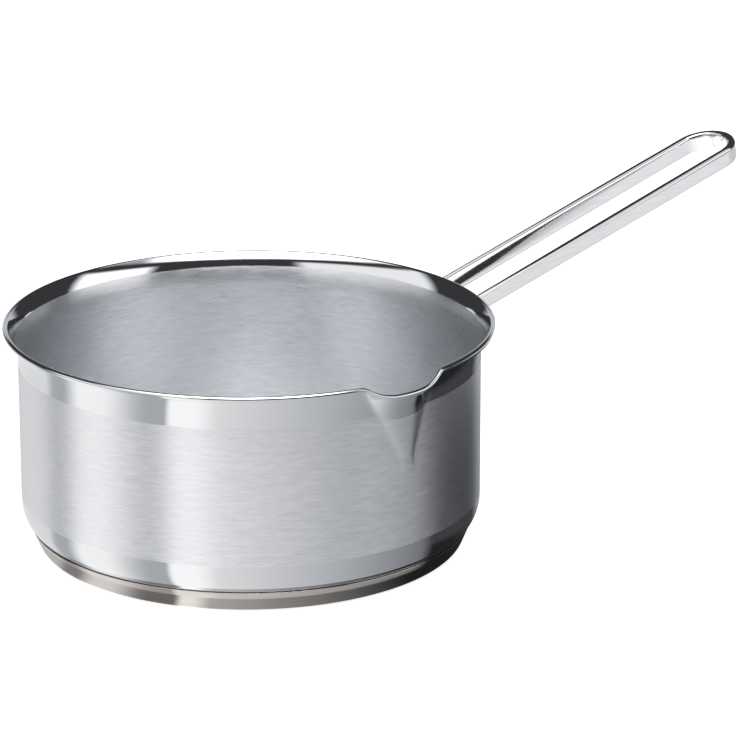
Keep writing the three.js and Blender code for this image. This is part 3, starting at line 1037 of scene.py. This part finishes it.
across = calc(t, "MULTIPLY", squared(calc(t, "COSINE", angle)), width)
across = calc(t, "MULTIPLY", across, 0.5)
outward = calc(t, "MULTIPLY", squared(calc(t, "SINE", angle)), depth)
outward = calc(t, "MULTIPLY", outward, 0.5)
# The foot is formed to the round wall
seat_width = calc(t, "MULTIPLY", given["Seat Radius"], 2.0)
dish = calc(t, "DIVIDE", calc(t, "MULTIPLY", across, across), seat_width)
dish = calc(t, "MULTIPLY", dish, flatness)


def moved(start, way, amount):
    step = add_node(t, "ShaderNodeVectorMath", operation="MULTIPLY_ADD")
    plug(t, step.inputs[0], way)
    plug(t, step.inputs[1], vector_of(t, amount, amount, amount))
    plug(t, step.inputs[2], start)
    return step.outputs[0]


surface = moved(middle, side, across)
surface = moved(surface, out, calc(t, "SUBTRACT", outward, dish))
# The welder's electrodes leave two round dents in the outer face of each foot
at = parts_of(t, surface)
swing = calc(t, "ABSOLUTE", calc(t, "ARCTAN2", at["Y"], at["X"]))
swing = calc(t, "SUBTRACT", swing, given["Mark Angle"])
off_mark = calc(t, "MULTIPLY", swing, given["Seat Radius"])
above_first = calc(t, "SUBTRACT", at["Z"], given["Mark Height"])
above_second = calc(t, "SUBTRACT", above_first, given["Mark Pitch"])
nearest = calc(t, "MINIMUM", calc(t, "ABSOLUTE", above_first), calc(t, "ABSOLUTE", above_second))
square = calc(t, "MULTIPLY_ADD", off_mark, off_mark, calc(t, "MULTIPLY", nearest, nearest))
DENT_FLAT_SHARE = 0.7
FACE_FROM = 0.0006
dent_flat = calc(t, "MULTIPLY", given["Mark Radius"], DENT_FLAT_SHARE)
dent = fade(t, calc(t, "SQRT", square), given["Mark Radius"], dent_flat)
on_face = calc(t, "MULTIPLY", fade(t, outward, 0.0, FACE_FROM), flatness)
dent = calc(t, "MULTIPLY", calc(t, "MULTIPLY", dent, on_face), given["Mark Depth"])
surface = moved(surface, out, calc(t, "MULTIPLY", dent, -1.0))
skin = keep(t, skin, "weld_mark", calc(t, "DIVIDE", dent, given["Mark Depth"]))
skin = place_points(t, skin, surface)
close_skin(t, skin, given["Material"])

handle_steel, tree, shader = shader_of("handle_steel")
place = object_place(tree)
mark = attribute(tree, "weld_mark")
at = parts_of(tree, place)
cloud = effect(tree, polish_cloud, place=place, scale=60.0)
GRAIN_ALONG, GRAIN_ACROSS = 60.0, 900.0
grain_scales = (("X", GRAIN_ALONG), ("Y", GRAIN_ACROSS), ("Z", GRAIN_ACROSS))
stretched = vector_of(tree, *(calc(tree, "MULTIPLY", at[way], scale) for way, scale in grain_scales))
grain = noise(tree, stretched, 1.0, 2.0)
BAR_TONE, MARK_TONE = (0.79, 0.795, 0.8, 1), (0.5, 0.46, 0.42, 1)
BAR_ROUGH, MARK_ROUGH = 0.06, 0.4
colour = blend_colour(tree, mark, BAR_TONE, MARK_TONE)
tone = fade(tree, grain, 0.3, 0.7, 0.97, 1.03)
plug(tree, shader.inputs["Base Color"], shade(tree, colour, tone))
gloss = blend(tree, mark, BAR_ROUGH, MARK_ROUGH)
plug(tree, shader.inputs["Roughness"], calc(tree, "MULTIPLY_ADD", cloud, 0.03, gloss))
plug(tree, shader.inputs["Normal"], ripple(tree, grain, 0.0000015))

handle = shaped(
    "handle",
    [tuple(v * MM for v in station[0]) for station in stations],
    {
        "side": [tuple(station[1]) for station in stations],
        "out": [tuple(station[2]) for station in stations],
        "width": [station[3] * MM for station in stations],
        "depth": [station[4] * MM for station in stations],
        "flatness": [float(station[5]) for station in stations],
    },
    bar_tree,
    {
        "Sides": BAR_SIDES,
        "Path Points": len(stations),
        "Seat Radius": foot_inside * MM,
        "Squareness": float(BAR_POWER),
        "Mark Angle": math.asin(leg / (foot_inside + FOOT_THICKNESS / 2)),
        "Mark Height": (foot_bottom + WELD_FROM_END) * MM,
        "Mark Pitch": WELD_PITCH * MM,
        "Mark Radius": WELD_MARK_RADIUS * MM,
        "Mark Depth": WELD_MARK_DEPTH * MM,
        "Material": handle_steel,
    },
)
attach(handle, "root")
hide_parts("handle_loop")

# Welds
# Four nuggets of steel, melted between the feet and the wall by a spot welder. They lie
# inside the joint, and only the electrodes' dents show on the feet.
weld_steel, tree, shader = shader_of("weld_steel")
place = object_place(tree)
cloud = effect(tree, polish_cloud, place=place, scale=600.0)
colour = blend_colour(tree, cloud, (0.4, 0.36, 0.34, 1), (0.5, 0.49, 0.5, 1))
plug(tree, shader.inputs["Base Color"], colour)
plug(tree, shader.inputs["Roughness"], fade(tree, cloud, 0.0, 1.0, 0.38, 0.6))
plug(tree, shader.inputs["Normal"], ripple(tree, cloud, 0.00002))
for foot in ("left", "right"):
    for height in ("lower", "upper"):
        dress(f"weld_nugget_{foot}_{height}", weld_steel)
